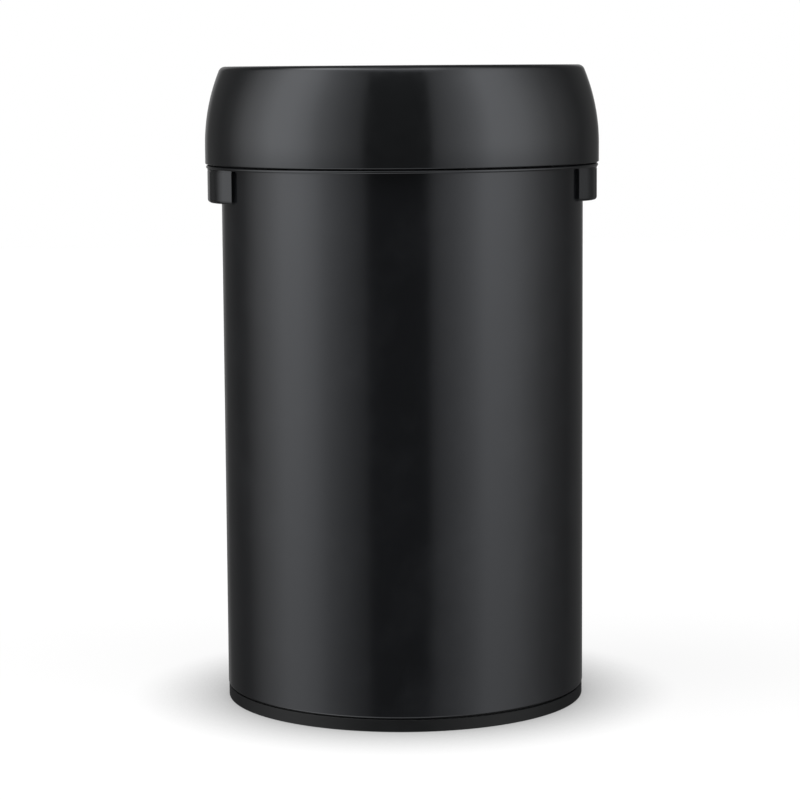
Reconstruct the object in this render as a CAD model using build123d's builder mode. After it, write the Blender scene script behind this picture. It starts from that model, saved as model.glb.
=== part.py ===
from build123d import *
import os
from math import asin, cos, degrees, radians, sin, sqrt

os.makedirs("parts", exist_ok=True)

# Body: a rolled sheet-steel cylinder, in millimetres
body_radius = 180.0
body_height = 519.7
body_sheet = 0.8
body_bend_radius = 2.0
body_edge_width = 17.0
seam_lap_width = 12.0
seam_lap_margin = 9.0

# Foot ring: a moulded channel under the body, with a neck that leaves a dark seam
foot_height = 12.0
foot_inset = 0.5
foot_seam = 1.0
foot_neck_inset = 2.4
foot_wall = 2.6
foot_rib_count = 24
foot_rib_thickness = 2.0
foot_rib_lift = 2.0
foot_edge_radius = 0.8

# Floor: a pressed plate with a raised middle, lying on the body's turned-in edge
floor_sheet = 0.8
floor_rise = 6.0
floor_slope_width = 9.0
floor_rim_width = 22.0
fit_gap = 0.15

# Rim ring: plugs into the body's mouth and carries the bucket and the lid
band_setback = 0.8
band_thickness = 3.0
band_edge_radius = 1.4
plug_gap = 0.3
plug_wall = 2.5
plug_tail = 7.0
upstand_wall = 2.4
upstand_height = 10.0
upstand_edge_radius = 0.8

# Hand grips: hollow shells on the body's sides, each with a round side just inside the band,
# a knee and a tapered end on both halves, which follow one another by angles round the body
grip_setback = 1.2
grip_knee_drop = 2.1
grip_end_depth = 3.0
grip_side_angle = 10.0
grip_knee_sweep = 5.9
grip_end_sweep = 6.2
grip_height = 32.9
grip_band_gap = 0.3
grip_wall = 3.2
grip_side_radius = 2.0
grip_knee_radius = 43.0
grip_bottom_radius = 3.0
grip_top_radius = 0.4
grip_lip_height = 1.0
grip_groove_height = 1.0
grip_groove_depth = 1.2
grip_back_gap = 0.1

# Grip fixings: screws from inside the mouth through a curved backing plate
grip_screw_angle = 14.5
grip_screw_drop = 15.0
grip_screw_radius = 2.5
grip_screw_length = 13.5
grip_head_radius = 4.2
grip_head_height = 2.6
grip_head_taper = 6.0
grip_boss_radius = 5.0
backing_sheet = 1.5
backing_end_angle = 4.0
backing_height = 19.0
backing_corner = 4.0

# Lid collar: upright at the lip, then one long arc up to a rounded top rim
lid_gap = 1.3
lid_overhang = 15.9
lid_height = 95.7
lid_straight_height = 18.1
lid_arc_radius = 192.0
lid_wall = 2.5
lid_rim_radius = 7.0
lid_rim_width = 13.4
lid_mouth_edge_radius = 4.6
lid_return_depth = 18.5
lid_lip_radius = 1.1
lid_rib_count = 12
lid_rib_thickness = 2.4
lid_rib_height = 26.0
lid_rib_gap = 0.8
lid_rib_setback = 3.6

# Funnel inside the open top
throat_inset = 52.5
throat_drop = 46.0
throat_length = 12.0
funnel_wall = 2.2
funnel_bend_radius = 9.0
funnel_lip_radius = 0.9
funnel_flange_overhang = 11.0
funnel_seat_gap = 0.5
funnel_screw_count = 6
funnel_screw_radius = 1.5
funnel_screw_length = 11.0
funnel_head_radius = 3.0
funnel_head_height = 2.0
funnel_boss_radius = 4.0

# Inner bucket, hung by its flange on the rim ring
bucket_sheet = 0.7
bucket_side_gap = 8.4
bucket_taper = 7.0
bucket_floor_clearance = 4.0
bucket_flange_width = 13.0
bucket_flange_gap = 0.9
bucket_bead_radius = 1.8
bucket_swage_depth = 1.5
bucket_swage_height = 8.0
bucket_swage_crest = 3.2
bucket_swage_margin = 90.0
bucket_hem_width = 5.0
bucket_base_rise = 7.0

# Carrying handle and its ears
bail_wire_radius = 2.5
bail_bend_radius = 5.0
bail_grip_radius = 5.0
bail_grip_angle = 30.0
bail_rim_offset = 4.5
bail_rest_gap = 0.4
bail_hole_gap = 0.4
bail_end_length = 6.0
bail_head_radius = 3.8
bail_head_length = 1.6
ear_sheet = 1.4
ear_width = 26.0
ear_tab_radius = 8.0
ear_tail = 11.0
ear_wall_gap = 1.3
ear_corner = 4.0
rivet_radius = 2.0
rivet_head_radius = 3.6
rivet_head_height = 1.4
rivet_spacing = 12.0
rivet_top_drop = 9.0

# Small screws in the foot ring
foot_screw_count = 6
foot_screw_radius = 1.75
foot_screw_length = 9.0
foot_head_radius = 3.5
foot_head_height = 2.2
hole_gap = 0.1
recess_width = 1.1
recess_share = 0.62

# How far a cut runs past the face that it opens, and how deep a joined feature starts inside its root
cut_margin = 1.0
join_overlap = 0.5
length_tolerance = 0.01

# Heights that follow from the sizes above
body_bottom = foot_height + foot_seam
body_top = body_bottom + body_height
band_top = body_top + band_thickness
web_under = foot_height - foot_wall
rim_under = body_bottom + body_sheet
lid_lip = band_top + lid_gap
lid_top = lid_lip + lid_height
lid_bend = lid_lip + lid_straight_height
funnel_seat = lid_top - lid_return_depth - funnel_seat_gap
flange_under = funnel_seat - funnel_wall
throat_bottom = funnel_seat - throat_drop
plug_bottom = body_top - grip_screw_drop - plug_tail
grip_top = body_top - grip_band_gap
grip_bottom = grip_top - grip_height
grip_screw_height = body_top - grip_screw_drop
floor_top = rim_under + floor_rise + floor_sheet
bucket_bottom = floor_top + bucket_floor_clearance
bucket_flange_top = band_top + bucket_sheet
bail_height = bucket_flange_top + bail_rest_gap + bail_grip_radius
rivet_heights = (band_top - rivet_top_drop, band_top - rivet_top_drop - rivet_spacing)
ear_bottom = band_top - rivet_top_drop - rivet_spacing - ear_tail

# Radii that follow from the sizes above
foot_radius = body_radius - foot_inset
body_bore = body_radius - body_sheet
floor_radius = body_bore - fit_gap
edge_bore = body_radius - body_edge_width
outer_wall_bore = foot_radius - foot_wall
foot_screw_circle = (edge_bore + outer_wall_bore) / 2
lid_radius = body_radius + lid_overhang
lid_arc_centre = lid_radius - lid_arc_radius
lid_top_radius = lid_arc_centre + sqrt(lid_arc_radius**2 - (lid_top - lid_bend) ** 2)
lid_mouth_radius = lid_top_radius - lid_rim_width
throat_radius = lid_mouth_radius - throat_inset
band_radius = lid_radius - band_setback
grip_face_radius = band_radius - grip_setback
plug_radius = body_bore - plug_gap
plug_bore = plug_radius - plug_wall
backing_radius = plug_bore - fit_gap
backing_bore = backing_radius - backing_sheet
bucket_top_radius = plug_bore - bucket_side_gap
bucket_bottom_radius = bucket_top_radius - bucket_taper
bucket_flange_radius = bucket_top_radius + bucket_flange_width
upstand_bore = bucket_flange_radius + bucket_flange_gap
upstand_radius = upstand_bore + upstand_wall
funnel_boss_circle = lid_mouth_radius + lid_wall + funnel_boss_radius + lid_wall
bead_circle = bucket_flange_radius - bucket_bead_radius
bail_radius = bucket_top_radius + bail_rim_offset
ear_outer = bucket_top_radius - bucket_sheet - ear_wall_gap
ear_inner = ear_outer - ear_sheet

# Angles round the body that follow from the sizes above
grip_knee_angle = grip_side_angle + grip_knee_sweep
grip_end_angle = grip_knee_angle + grip_end_sweep
backing_angle = grip_screw_angle + backing_end_angle
grip_angles = (-grip_screw_angle, grip_screw_angle)


def section_plane(angle):
    """Upright plane through the bin's axis: local x runs outwards, local y runs up."""
    turn = radians(angle)
    return Plane(origin=(0, 0, 0), x_dir=(cos(turn), sin(turn), 0), z_dir=(sin(turn), -cos(turn), 0))


def radial_plane(angle, radius, height):
    """Plane facing outwards at a given angle, radius and height on the bin."""
    turn = radians(angle)
    out = Vector(cos(turn), sin(turn), 0)
    return Plane(origin=out * radius + Vector(0, 0, height), x_dir=(-sin(turn), cos(turn), 0), z_dir=out)


def polar(radius, angle):
    """Point in plan at a radius and an angle."""
    return (radius * cos(radians(angle)), radius * sin(radians(angle)))


def corner(sketch, x, y):
    """Vertex of a sketch nearest to a point."""
    return sketch.vertices().sort_by_distance((x, y))[0]


# Body shell: wall and turned-in bottom edge in one section, with the rear seam's lap inside
with BuildPart() as body_shell:
    with BuildSketch(Plane.XZ) as wall_section:
        with BuildLine():
            Polyline(
                (edge_bore, body_bottom),
                (body_radius, body_bottom),
                (body_radius, body_top),
                (body_bore, body_top),
                (body_bore, body_bottom + body_sheet),
                (edge_bore, body_bottom + body_sheet),
                close=True,
            )
        make_face()
        fillet(corner(wall_section, body_radius, body_bottom), body_bend_radius)
        fillet(corner(wall_section, body_bore, body_bottom + body_sheet), body_bend_radius - body_sheet)
    revolve(axis=Axis.Z)
    with BuildSketch(section_plane(90 - degrees(seam_lap_width / body_radius) / 2)):
        with BuildLine():
            Polyline(
                (body_bore - body_sheet, floor_top + seam_lap_margin),
                (body_bore + body_sheet / 2, floor_top + seam_lap_margin),
                (body_bore + body_sheet / 2, plug_bottom - seam_lap_margin),
                (body_bore - body_sheet, plug_bottom - seam_lap_margin),
                close=True,
            )
        make_face()
    revolve(axis=Axis.Z, revolution_arc=degrees(seam_lap_width / body_radius))
    for side in (0, 180):
        for angle in grip_angles:
            with BuildSketch(radial_plane(side + angle, body_bore - cut_margin, grip_screw_height)):
                Circle(grip_screw_radius + hole_gap)
            extrude(amount=body_sheet + 2 * cut_margin, mode=Mode.SUBTRACT)
    with BuildSketch(Plane.XY.offset(body_bottom - cut_margin)):
        with PolarLocations(foot_screw_circle, foot_screw_count):
            Circle(foot_screw_radius + hole_gap)
    extrude(amount=body_sheet + 2 * cut_margin, mode=Mode.SUBTRACT)
body_shell.part.label = "body_shell"
export_step(body_shell.part, "parts/body_shell.step")


# Floor: flat rim on the body's edge, a short slope and the raised middle
with BuildPart() as bottom_plate:
    middle_under = rim_under + floor_rise
    slope_outer = floor_radius - floor_rim_width
    slope_inner = slope_outer - floor_slope_width
    with BuildSketch(Plane.XZ):
        with BuildLine():
            Polyline(
                (0, middle_under),
                (slope_inner, middle_under),
                (slope_outer, rim_under),
                (floor_radius - body_bend_radius, rim_under),
                (floor_radius - body_bend_radius, rim_under + floor_sheet),
                (slope_outer, rim_under + floor_sheet),
                (slope_inner, middle_under + floor_sheet),
                (0, middle_under + floor_sheet),
                close=True,
            )
        make_face()
    revolve(axis=Axis.Z)
    with BuildSketch(Plane.XY.offset(rim_under - cut_margin)):
        with PolarLocations(foot_screw_circle, foot_screw_count):
            Circle(foot_screw_radius + hole_gap)
    extrude(amount=floor_sheet + 2 * cut_margin, mode=Mode.SUBTRACT)
bottom_plate.part.label = "bottom_plate"
export_step(bottom_plate.part, "parts/bottom_plate.step")


# Foot ring: channel open below, with ribs between its walls and the neck above its web
with BuildPart() as foot_ring:
    inner_wall_radius = edge_bore + foot_wall
    with BuildSketch(Plane.XZ) as channel_section:
        with BuildLine():
            Polyline(
                (edge_bore, 0),
                (inner_wall_radius, 0),
                (inner_wall_radius, web_under),
                (outer_wall_bore, web_under),
                (outer_wall_bore, 0),
                (foot_radius, 0),
                (foot_radius, foot_height),
                (foot_radius - foot_neck_inset, foot_height),
                (foot_radius - foot_neck_inset, body_bottom),
                (edge_bore, body_bottom),
                close=True,
            )
        make_face()
        fillet(corner(channel_section, foot_radius, 0), foot_edge_radius)
        fillet(corner(channel_section, foot_radius, foot_height), foot_edge_radius)
    revolve(axis=Axis.Z)
    with BuildSketch(Plane.XY.offset(foot_rib_lift)):
        with PolarLocations((inner_wall_radius + outer_wall_bore) / 2, foot_rib_count, 180 / foot_rib_count):
            Rectangle(outer_wall_bore - inner_wall_radius + 2 * join_overlap, foot_rib_thickness)
    extrude(amount=web_under - foot_rib_lift)
    with BuildSketch(Plane.XY.offset(web_under - cut_margin)):
        with PolarLocations(foot_screw_circle, foot_screw_count):
            Circle(foot_screw_radius + hole_gap)
    extrude(amount=body_bottom - web_under + 2 * cut_margin, mode=Mode.SUBTRACT)
foot_ring.part.label = "foot_ring"
export_step(foot_ring.part, "parts/foot_ring.step")


# Foot screws: heads up against the channel's web, shanks through the floor
with BuildPart() as foot_screws:
    with BuildSketch(Plane.XY.offset(web_under - foot_head_height)):
        with PolarLocations(foot_screw_circle, foot_screw_count):
            Circle(foot_head_radius)
    extrude(amount=foot_head_height)
    with BuildSketch(Plane.XY.offset(web_under - join_overlap)):
        with PolarLocations(foot_screw_circle, foot_screw_count):
            Circle(foot_screw_radius)
    extrude(amount=foot_screw_length + join_overlap)
    with BuildSketch(Plane.XY.offset(web_under - foot_head_height)):
        with PolarLocations(foot_screw_circle, foot_screw_count):
            Rectangle(2 * foot_head_radius * recess_share, recess_width)
            Rectangle(recess_width, 2 * foot_head_radius * recess_share)
    extrude(amount=foot_head_height * recess_share, mode=Mode.SUBTRACT)
foot_screws.part.label = "foot_screws"
export_step(foot_screws.part, "parts/foot_screws.step")


# Rim ring: plug inside the mouth, band outside, ledge for the bucket and upstand for the lid
with BuildPart() as rim_ring:
    with BuildSketch(Plane.XZ) as ring_section:
        with BuildLine():
            Polyline(
                (plug_bore, plug_bottom),
                (plug_radius, plug_bottom),
                (plug_radius, body_top),
                (band_radius, body_top),
                (band_radius, band_top),
                (upstand_radius, band_top),
                (upstand_radius, band_top + upstand_height),
                (upstand_bore, band_top + upstand_height),
                (upstand_bore, band_top),
                (plug_bore, band_top),
                close=True,
            )
        make_face()
        fillet(corner(ring_section, band_radius, body_top), band_edge_radius)
        fillet(corner(ring_section, band_radius, band_top), band_edge_radius)
        fillet(corner(ring_section, upstand_bore, band_top + upstand_height), upstand_edge_radius)
        fillet(corner(ring_section, upstand_radius, band_top + upstand_height), upstand_edge_radius)
    revolve(axis=Axis.Z)
    for side in (0, 180):
        for angle in grip_angles:
            with BuildSketch(radial_plane(side + angle, plug_bore - cut_margin, grip_screw_height)):
                Circle(grip_screw_radius + hole_gap)
            extrude(amount=plug_wall + 2 * cut_margin, mode=Mode.SUBTRACT)
rim_ring.part.label = "rim_ring"
export_step(rim_ring.part, "parts/rim_ring.step")


def grip_outline():
    """Grip seen from above: side arc, knee and end on both halves, closed inside the body."""
    knee_radius = grip_face_radius - grip_knee_drop
    end_radius = body_radius + grip_end_depth
    back_radius = body_radius - grip_end_depth - 2 * grip_bottom_radius
    with BuildSketch(mode=Mode.PRIVATE) as outline:
        with BuildLine():
            CenterArc((0, 0), grip_face_radius, -grip_side_angle, 2 * grip_side_angle)
            for half in (-1, 1):
                Polyline(
                    polar(grip_face_radius, half * grip_side_angle),
                    polar(knee_radius, half * grip_knee_angle),
                    polar(end_radius, half * grip_end_angle),
                    polar(back_radius, half * grip_end_angle),
                )
            Line(polar(back_radius, -grip_end_angle), polar(back_radius, grip_end_angle))
        make_face()
        for half in (-1, 1):
            fillet(corner(outline, *polar(knee_radius, half * grip_knee_angle)), grip_knee_radius)
            fillet(corner(outline, *polar(grip_face_radius, half * grip_side_angle)), grip_side_radius)
    return outline.sketch


def make_grip(turn):
    """Hollow hand grip on the body's side, open below and against the body."""
    outline = Rot(0, 0, turn) * grip_outline()
    hollow = offset(outline, amount=-grip_wall, kind=Kind.INTERSECTION)
    core = offset(outline, amount=-grip_groove_depth, kind=Kind.INTERSECTION)
    groove_top = grip_top - grip_lip_height
    boss_start = body_radius + grip_back_gap
    boss_end = grip_face_radius - grip_knee_drop - grip_wall / 2
    with BuildPart() as grip:
        with BuildSketch(Plane.XY.offset(grip_bottom)):
            add(outline)
        extrude(amount=grip_height)
        fillet(grip.faces().sort_by(Axis.Z)[0].edges(), grip_bottom_radius)
        fillet(grip.faces().sort_by(Axis.Z)[-1].edges(), grip_top_radius)
        with BuildSketch(Plane.XY.offset(groove_top - grip_groove_height)):
            add(outline)
            add(core, mode=Mode.SUBTRACT)
        extrude(amount=grip_groove_height, mode=Mode.SUBTRACT)
        with BuildSketch(Plane.XY.offset(grip_bottom - cut_margin)):
            add(hollow)
        extrude(amount=grip_height + cut_margin - grip_wall - grip_lip_height, mode=Mode.SUBTRACT)
        for angle in grip_angles:
            with BuildSketch(radial_plane(turn + angle, boss_start - cut_margin, grip_screw_height)):
                Circle(grip_boss_radius)
            extrude(amount=boss_end - boss_start + cut_margin)
        with BuildSketch(Plane.XY.offset(grip_bottom - cut_margin)):
            Circle(boss_start)
        extrude(amount=grip_height + 2 * cut_margin, mode=Mode.SUBTRACT)
        for angle in grip_angles:
            with BuildSketch(radial_plane(turn + angle, boss_start - cut_margin, grip_screw_height)):
                Circle(grip_screw_radius + hole_gap)
            extrude(amount=boss_end - boss_start, mode=Mode.SUBTRACT)
    return grip.part


grip_right = make_grip(0)
grip_right.label = "grip_right"
export_step(grip_right, "parts/grip_right.step")

grip_left = make_grip(180)
grip_left.label = "grip_left"
export_step(grip_left, "parts/grip_left.step")


def make_backing(turn):
    """Curved steel plate behind the plug, with rounded corners and two screw holes."""
    with BuildPart() as plate:
        with BuildSketch(section_plane(turn - backing_angle)):
            with Locations(((backing_bore + backing_radius) / 2, grip_screw_height)):
                Rectangle(backing_sheet, backing_height)
        revolve(axis=Axis.Z, revolution_arc=2 * backing_angle)
        ends = plate.edges().filter_by(GeomType.LINE)
        corners = ends.filter_by(lambda edge: abs(edge.length - backing_sheet) < length_tolerance)
        fillet(corners, backing_corner)
        for angle in grip_angles:
            with BuildSketch(radial_plane(turn + angle, backing_bore - cut_margin, grip_screw_height)):
                Circle(grip_screw_radius + hole_gap)
            extrude(amount=backing_sheet + 2 * cut_margin, mode=Mode.SUBTRACT)
    return plate.part


def make_grip_screws(turn):
    """Two screws whose heads bear on the backing plate and whose shanks end in the grip's bosses."""
    seat = backing_bore - hole_gap
    with BuildPart() as screws:
        for angle in grip_angles:
            with BuildSketch(radial_plane(turn + angle, seat - grip_head_height, grip_screw_height)):
                Circle(grip_head_radius)
            extrude(amount=grip_head_height, taper=-grip_head_taper)
            with BuildSketch(radial_plane(turn + angle, seat - join_overlap, grip_screw_height)):
                Circle(grip_screw_radius)
            extrude(amount=grip_screw_length + join_overlap)
            with BuildSketch(radial_plane(turn + angle, seat - grip_head_height, grip_screw_height)):
                Rectangle(2 * grip_head_radius * recess_share, recess_width)
                Rectangle(recess_width, 2 * grip_head_radius * recess_share)
            extrude(amount=grip_head_height * recess_share, mode=Mode.SUBTRACT)
    return screws.part


grip_plate_right = make_backing(0)
grip_plate_right.label = "grip_plate_right"
export_step(grip_plate_right, "parts/grip_plate_right.step")

grip_plate_left = make_backing(180)
grip_plate_left.label = "grip_plate_left"
export_step(grip_plate_left, "parts/grip_plate_left.step")

grip_screws_right = make_grip_screws(0)
grip_screws_right.label = "grip_screws_right"
export_step(grip_screws_right, "parts/grip_screws_right.step")

grip_screws_left = make_grip_screws(180)
grip_screws_left.label = "grip_screws_left"
export_step(grip_screws_left, "parts/grip_screws_left.step")


# Lid collar: one moulded wall from the lip over the rim to the mouth's return, ribs and bosses inside
with BuildPart() as lid_collar:
    inner_arc_radius = lid_arc_radius - lid_wall
    outer_sweep = degrees(asin((lid_top - lid_bend) / lid_arc_radius))
    inner_sweep = degrees(asin((lid_top - lid_wall - lid_bend) / inner_arc_radius))
    outer_corner = (lid_top_radius, lid_top)
    inner_corner = (lid_arc_centre + inner_arc_radius * cos(radians(inner_sweep)), lid_top - lid_wall)
    return_bottom = lid_top - lid_return_depth
    with BuildSketch(Plane.XZ) as collar_section:
        with BuildLine():
            Line((lid_radius, lid_lip), (lid_radius, lid_bend))
            CenterArc((lid_arc_centre, lid_bend), lid_arc_radius, 0, outer_sweep)
            Polyline(
                outer_corner,
                (lid_mouth_radius, lid_top),
                (lid_mouth_radius, return_bottom),
                (lid_mouth_radius + lid_wall, return_bottom),
                (lid_mouth_radius + lid_wall, lid_top - lid_wall),
                inner_corner,
            )
            CenterArc((lid_arc_centre, lid_bend), inner_arc_radius, 0, inner_sweep)
            Polyline(
                (lid_radius - lid_wall, lid_bend),
                (lid_radius - lid_wall, lid_lip),
                (lid_radius, lid_lip),
            )
        make_face()
        fillet(corner(collar_section, *outer_corner), lid_rim_radius)
        fillet(corner(collar_section, *inner_corner), lid_rim_radius - lid_wall)
        fillet(corner(collar_section, lid_mouth_radius, lid_top), lid_mouth_edge_radius)
        fillet(corner(collar_section, lid_radius, lid_lip), lid_lip_radius)
        fillet(corner(collar_section, lid_radius - lid_wall, lid_lip), lid_lip_radius)
    revolve(axis=Axis.Z)
    rib_inner = upstand_radius + lid_rib_gap
    rib_outer = lid_radius - lid_wall / 2
    for step in range(lid_rib_count):
        with BuildSketch(section_plane((step + 0.5) * 360 / lid_rib_count)):
            with BuildLine():
                Polyline(
                    (rib_inner, band_top),
                    (lid_radius - lid_rib_setback, band_top),
                    (rib_outer, lid_lip + lid_gap),
                    (rib_outer, band_top + lid_rib_height),
                    (rib_inner, band_top + lid_rib_height / 2),
                    close=True,
                )
            make_face()
        extrude(amount=lid_rib_thickness / 2, both=True)
    with BuildSketch(Plane.XY.offset(funnel_seat)):
        with PolarLocations(funnel_boss_circle, funnel_screw_count):
            Circle(funnel_boss_radius)
    extrude(amount=lid_top - lid_wall / 2 - funnel_seat)
    with BuildSketch(Plane.XY.offset(funnel_seat)):
        with PolarLocations(funnel_boss_circle, funnel_screw_count):
            Circle(funnel_screw_radius + hole_gap)
    extrude(amount=funnel_screw_length, mode=Mode.SUBTRACT)
lid_collar.part.label = "lid_collar"
export_step(lid_collar.part, "parts/lid_collar.step")


# Funnel: flange under the collar's return, cone and throat
with BuildPart() as lid_funnel:
    flange_radius = lid_mouth_radius + lid_wall + funnel_flange_overhang
    cone_foot = throat_bottom + throat_length
    cone_under = cone_foot - funnel_wall / 2
    with BuildSketch(Plane.XZ) as funnel_section:
        with BuildLine():
            Polyline(
                (flange_radius, funnel_seat),
                (flange_radius, flange_under),
                (lid_mouth_radius, flange_under),
                (throat_radius + funnel_wall, cone_under),
                (throat_radius + funnel_wall, throat_bottom),
                (throat_radius, throat_bottom),
                (throat_radius, cone_foot),
                (lid_mouth_radius - funnel_wall, funnel_seat),
                close=True,
            )
        make_face()
        fillet(corner(funnel_section, throat_radius, cone_foot), funnel_bend_radius + funnel_wall)
        fillet(corner(funnel_section, throat_radius + funnel_wall, cone_under), funnel_bend_radius)
        fillet(corner(funnel_section, throat_radius, throat_bottom), funnel_lip_radius)
        fillet(corner(funnel_section, throat_radius + funnel_wall, throat_bottom), funnel_lip_radius)
    revolve(axis=Axis.Z)
    with BuildSketch(Plane.XY.offset(flange_under - cut_margin)):
        with PolarLocations(funnel_boss_circle, funnel_screw_count):
            Circle(funnel_screw_radius + hole_gap)
    extrude(amount=funnel_wall + 2 * cut_margin, mode=Mode.SUBTRACT)
lid_funnel.part.label = "lid_funnel"
export_step(lid_funnel.part, "parts/lid_funnel.step")


# Funnel screws: heads under the flange, shanks up in the collar's bosses
with BuildPart() as funnel_screws:
    with BuildSketch(Plane.XY.offset(flange_under - funnel_head_height)):
        with PolarLocations(funnel_boss_circle, funnel_screw_count):
            Circle(funnel_head_radius)
    extrude(amount=funnel_head_height)
    with BuildSketch(Plane.XY.offset(flange_under - join_overlap)):
        with PolarLocations(funnel_boss_circle, funnel_screw_count):
            Circle(funnel_screw_radius)
    extrude(amount=funnel_screw_length + join_overlap)
    with BuildSketch(Plane.XY.offset(flange_under - funnel_head_height)):
        with PolarLocations(funnel_boss_circle, funnel_screw_count):
            Rectangle(2 * funnel_head_radius * recess_share, recess_width)
            Rectangle(recess_width, 2 * funnel_head_radius * recess_share)
    extrude(amount=funnel_head_height * recess_share, mode=Mode.SUBTRACT)
funnel_screws.part.label = "funnel_screws"
export_step(funnel_screws.part, "parts/funnel_screws.step")


def bucket_radius(height):
    """Outside radius of the tapered bucket wall at a height."""
    share = (height - bucket_bottom) / (band_top - bucket_bottom)
    return bucket_bottom_radius + share * (bucket_top_radius - bucket_bottom_radius)


def bucket_wall(inset):
    """Points up the bucket's wall, with a pressed bead near its foot and one near its top."""
    points = [(bucket_bottom_radius - inset, bucket_bottom)]
    for middle in (bucket_bottom + bucket_swage_margin, band_top - bucket_swage_margin):
        radius = bucket_radius(middle) - inset
        points.append((radius, middle - bucket_swage_height / 2))
        points.append((radius + bucket_swage_depth, middle - bucket_swage_crest / 2))
        points.append((radius + bucket_swage_depth, middle + bucket_swage_crest / 2))
        points.append((radius, middle + bucket_swage_height / 2))
    return points


# Bucket shell: hemmed foot, tapered wall with two beads, flange and rolled edge
with BuildPart() as bucket_shell:
    with BuildSketch(Plane.XZ):
        with BuildLine():
            Polyline(
                (bucket_bottom_radius - bucket_hem_width, bucket_bottom),
                *bucket_wall(0),
                (bucket_top_radius, band_top),
                (bead_circle, band_top),
                (bead_circle, bucket_flange_top),
                (bucket_top_radius - bucket_sheet, bucket_flange_top),
                *reversed(bucket_wall(bucket_sheet)[1:]),
                (bucket_bottom_radius - bucket_sheet, bucket_bottom + bucket_sheet),
                (bucket_bottom_radius - bucket_hem_width, bucket_bottom + bucket_sheet),
                close=True,
            )
        make_face()
        with Locations((bead_circle, band_top + bucket_bead_radius)):
            Circle(bucket_bead_radius)
    revolve(axis=Axis.Z)
    for side in (0, 180):
        for height in rivet_heights:
            with BuildSketch(radial_plane(side, bucket_bottom_radius, height)):
                Circle(rivet_radius + hole_gap)
            extrude(amount=bucket_top_radius - bucket_bottom_radius + cut_margin, mode=Mode.SUBTRACT)
bucket_shell.part.label = "bucket_shell"
export_step(bucket_shell.part, "parts/bucket_shell.step")


# Bucket base: a shallow pressed cup standing on the shell's hem
with BuildPart() as bucket_base:
    cup_radius = bucket_bottom_radius - bucket_sheet - fit_gap
    cup_foot = bucket_bottom + bucket_sheet
    cup_top = cup_foot + bucket_base_rise
    with BuildSketch(Plane.XZ) as cup_section:
        with BuildLine():
            Polyline(
                (0, cup_top - bucket_sheet),
                (cup_radius - bucket_sheet, cup_top - bucket_sheet),
                (cup_radius - bucket_sheet, cup_foot),
                (cup_radius, cup_foot),
                (cup_radius, cup_top),
                (0, cup_top),
                close=True,
            )
        make_face()
        fillet(corner(cup_section, cup_radius, cup_top), 2 * bucket_sheet)
        fillet(corner(cup_section, cup_radius - bucket_sheet, cup_top - bucket_sheet), bucket_sheet)
    revolve(axis=Axis.Z)
bucket_base.part.label = "bucket_base"
export_step(bucket_base.part, "parts/bucket_base.step")


def make_ear(side):
    """Plate riveted inside the bucket's wall, with a rounded tab above the rim for the handle."""
    with BuildPart() as ear:
        with BuildSketch(radial_plane(side, ear_inner, 0)) as ear_face:
            with BuildLine():
                Polyline(
                    (-ear_width / 2, ear_bottom),
                    (ear_width / 2, ear_bottom),
                    (ear_width / 2, band_top - bucket_sheet),
                    (ear_tab_radius, bail_height - ear_tab_radius / 2),
                    (ear_tab_radius, bail_height),
                    (-ear_tab_radius, bail_height),
                    (-ear_tab_radius, bail_height - ear_tab_radius / 2),
                    (-ear_width / 2, band_top - bucket_sheet),
                    close=True,
                )
            make_face()
            fillet(corner(ear_face, -ear_width / 2, ear_bottom), ear_corner)
            fillet(corner(ear_face, ear_width / 2, ear_bottom), ear_corner)
            with Locations((0, bail_height)):
                Circle(ear_tab_radius)
                Circle(bail_wire_radius + bail_hole_gap, mode=Mode.SUBTRACT)
            with Locations(*((0, height) for height in rivet_heights)):
                Circle(rivet_radius + hole_gap, mode=Mode.SUBTRACT)
        extrude(amount=ear_sheet)
    return ear.part


bail_ear_right = make_ear(0)
bail_ear_right.label = "bail_ear_right"
export_step(bail_ear_right, "parts/bail_ear_right.step")

bail_ear_left = make_ear(180)
bail_ear_left.label = "bail_ear_left"
export_step(bail_ear_left, "parts/bail_ear_left.step")


# Rivets: a head inside each ear, a shank through the wall and a head outside it
with BuildPart() as bail_rivets:
    outer_seat = bucket_top_radius + fit_gap
    for side in (0, 180):
        for height in rivet_heights:
            with BuildSketch(radial_plane(side, ear_inner - rivet_head_height, height)):
                Circle(rivet_head_radius)
            extrude(amount=rivet_head_height)
            with BuildSketch(radial_plane(side, ear_inner - join_overlap, height)):
                Circle(rivet_radius)
            extrude(amount=outer_seat - ear_inner + 2 * join_overlap)
            with BuildSketch(radial_plane(side, outer_seat, height)):
                Circle(rivet_head_radius)
            extrude(amount=rivet_head_height)
bail_rivets.part.label = "bail_rivets"
export_step(bail_rivets.part, "parts/bail_rivets.step")


# Handle wire: a half hoop lying on the rim, its ends turned in through the ears and headed
with BuildPart() as bail_wire:
    end_radius = ear_inner - bail_end_length
    with BuildLine(Plane.XY.offset(bail_height)) as hoop:
        Line((end_radius, 0), (bail_radius, 0))
        CenterArc((0, 0), bail_radius, 0, 180)
        Line((-bail_radius, 0), (-end_radius, 0))
        bends = hoop.vertices().filter_by(lambda point: abs(abs(point.X) - bail_radius) < length_tolerance)
        fillet(bends, bail_bend_radius)
    with BuildSketch(radial_plane(0, end_radius, bail_height)):
        Circle(bail_wire_radius)
    sweep(path=hoop.wires()[0])
    for side in (0, 180):
        with BuildSketch(radial_plane(side, end_radius - bail_head_length, bail_height)):
            Circle(bail_head_radius)
        extrude(amount=bail_head_length)
bail_wire.part.label = "bail_wire"
export_step(bail_wire.part, "parts/bail_wire.step")


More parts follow.
